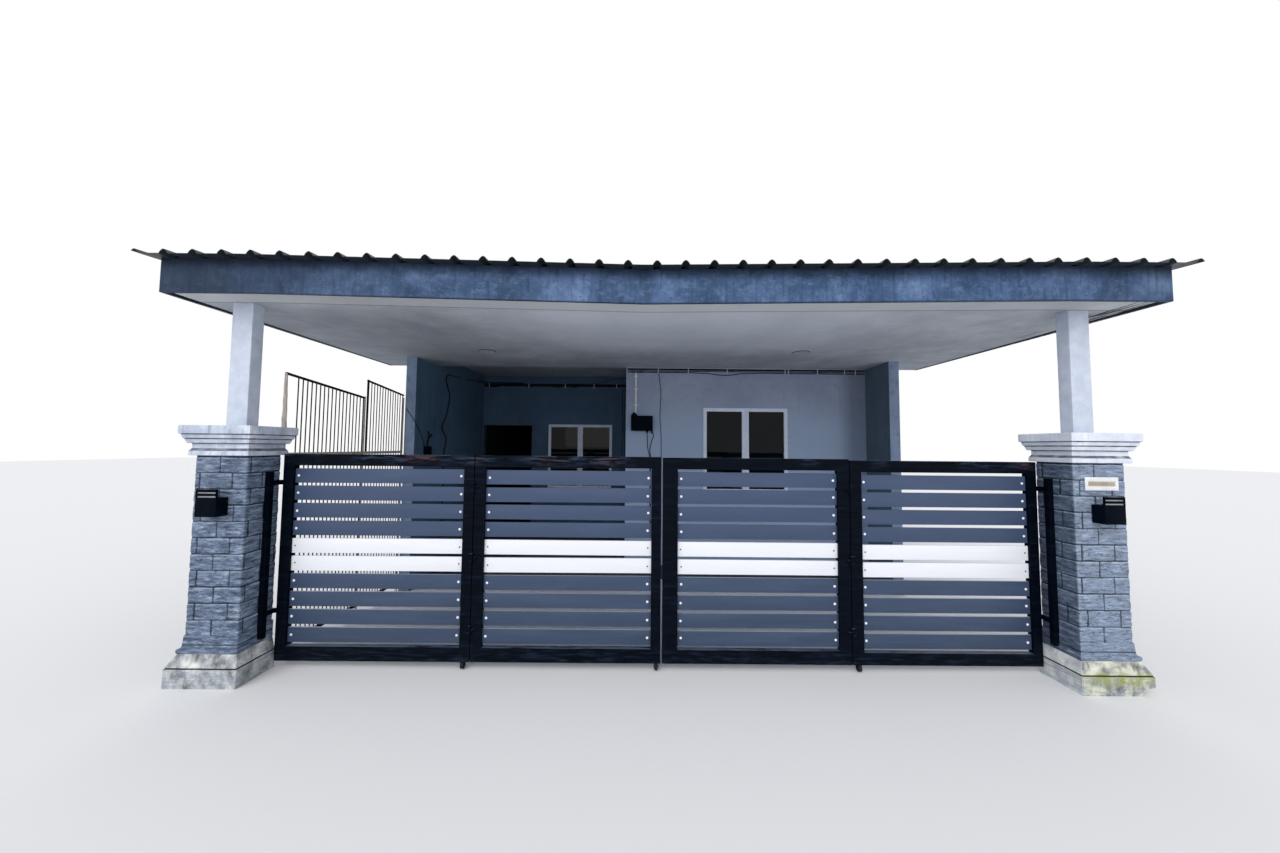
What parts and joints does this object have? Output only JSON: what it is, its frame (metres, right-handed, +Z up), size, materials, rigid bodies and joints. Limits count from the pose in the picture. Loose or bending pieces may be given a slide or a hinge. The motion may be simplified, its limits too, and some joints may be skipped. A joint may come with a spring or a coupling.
{
  "type": "single-storey terraced house",
  "caption": "Single-storey terraced house with a roofed car porch on pillars, a recessed entrance and a folding slatted gate across the front.",
  "frame": {"origin": "middle of the footprint's box, on the ground", "axes": "+Z up, the street front faces -Y, +X to the right as seen from the street"},
  "size_m": [8.06, 11.26, 4.0242],
  "materials": {
    "render": "satin",
    "concrete": "matte",
    "stone_cladding": "satin",
    "white_moulding": "satin",
    "fascia_board": "satin",
    "soffit_board": "matte",
    "roof_sheet": "satin",
    "gate_steel": "satin",
    "grey_board": "satin",
    "white_board": "satin",
    "black_rubber": "matte",
    "white_aluminium": "satin",
    "glass": "gloss",
    "black_plastic": "satin",
    "light_plastic": "satin",
    "letter_plastic": "satin",
    "fence_steel": "satin"
  },
  "bodies": {
    "house": {"house_floor": "concrete", "left_party_wall": "render", "right_party_wall": "render", "rear_wall": "render", "room_front_wall": "render", "room_side_wall": "render", "recess_wall_over_door": "render", "recess_wall_beside_door": "render", "house_ceiling": "soffit_board", "main_roof_front": "roof_sheet", "main_roof_rear": "roof_sheet", "ridge_cap": "roof_sheet", "porch_roof_sheet": "roof_sheet", "front_fascia": "fascia_board", "side_fascias": "fascia_board", "porch_soffit": "soffit_board", "soffit_lights": "light_plastic", "gate_pillars": "stone_cladding", "pillar_caps": "white_moulding", "pillar_bases": "concrete", "porch_columns": "white_moulding", "gate_posts": "gate_steel", "window_frames": "white_aluminium", "window_glass": "glass", "door_lining": "white_aluminium", "wall_boxes": "black_plastic", "wall_cables": "black_plastic", "pillar_lamps": "black_plastic", "letter_plate": "letter_plastic", "side_fence": "fence_steel"},
    "outer_left_leaf": {"outer_left_leaf_frame": "gate_steel", "outer_left_leaf_grey_boards": "grey_board", "outer_left_leaf_white_boards": "white_board", "left_gate_wheel": "black_rubber"},
    "inner_left_leaf": {"inner_left_leaf_frame": "gate_steel", "inner_left_leaf_grey_boards": "grey_board", "inner_left_leaf_white_boards": "white_board", "centre_gate_wheel": "black_rubber"},
    "inner_right_leaf": {"inner_right_leaf_frame": "gate_steel", "inner_right_leaf_grey_boards": "grey_board", "inner_right_leaf_white_boards": "white_board"},
    "outer_right_leaf": {"outer_right_leaf_frame": "gate_steel", "outer_right_leaf_grey_boards": "grey_board", "outer_right_leaf_white_boards": "white_board", "right_gate_wheel": "black_rubber"}
  },
  "joints": [
    {"name": "left_gate_fold", "type": "hinge", "parent": "house", "child": "outer_left_leaf", "pos_m": [-3.313, -5.025, 0.9], "axis": [0, 0, 1], "range_deg": [0, 90]},
    {"name": "left_leaf_fold", "type": "hinge", "parent": "outer_left_leaf", "child": "inner_left_leaf", "pos_m": [-1.637, -5.084, 0.9], "axis": [0, 0, -1], "range_deg": [0, 180]},
    {"name": "right_gate_fold", "type": "hinge", "parent": "house", "child": "outer_right_leaf", "pos_m": [3.263, -5.025, 0.9], "axis": [0, 0, -1], "range_deg": [0, 90]},
    {"name": "right_leaf_fold", "type": "hinge", "parent": "outer_right_leaf", "child": "inner_right_leaf", "pos_m": [1.619, -5.084, 0.9], "axis": [0, 0, 1], "range_deg": [0, 180]}
  ],
  "couplings": [
    {"joint": "left_leaf_fold", "follows": "left_gate_fold", "ratio": 2},
    {"joint": "right_leaf_fold", "follows": "right_gate_fold", "ratio": 2}
  ]
}
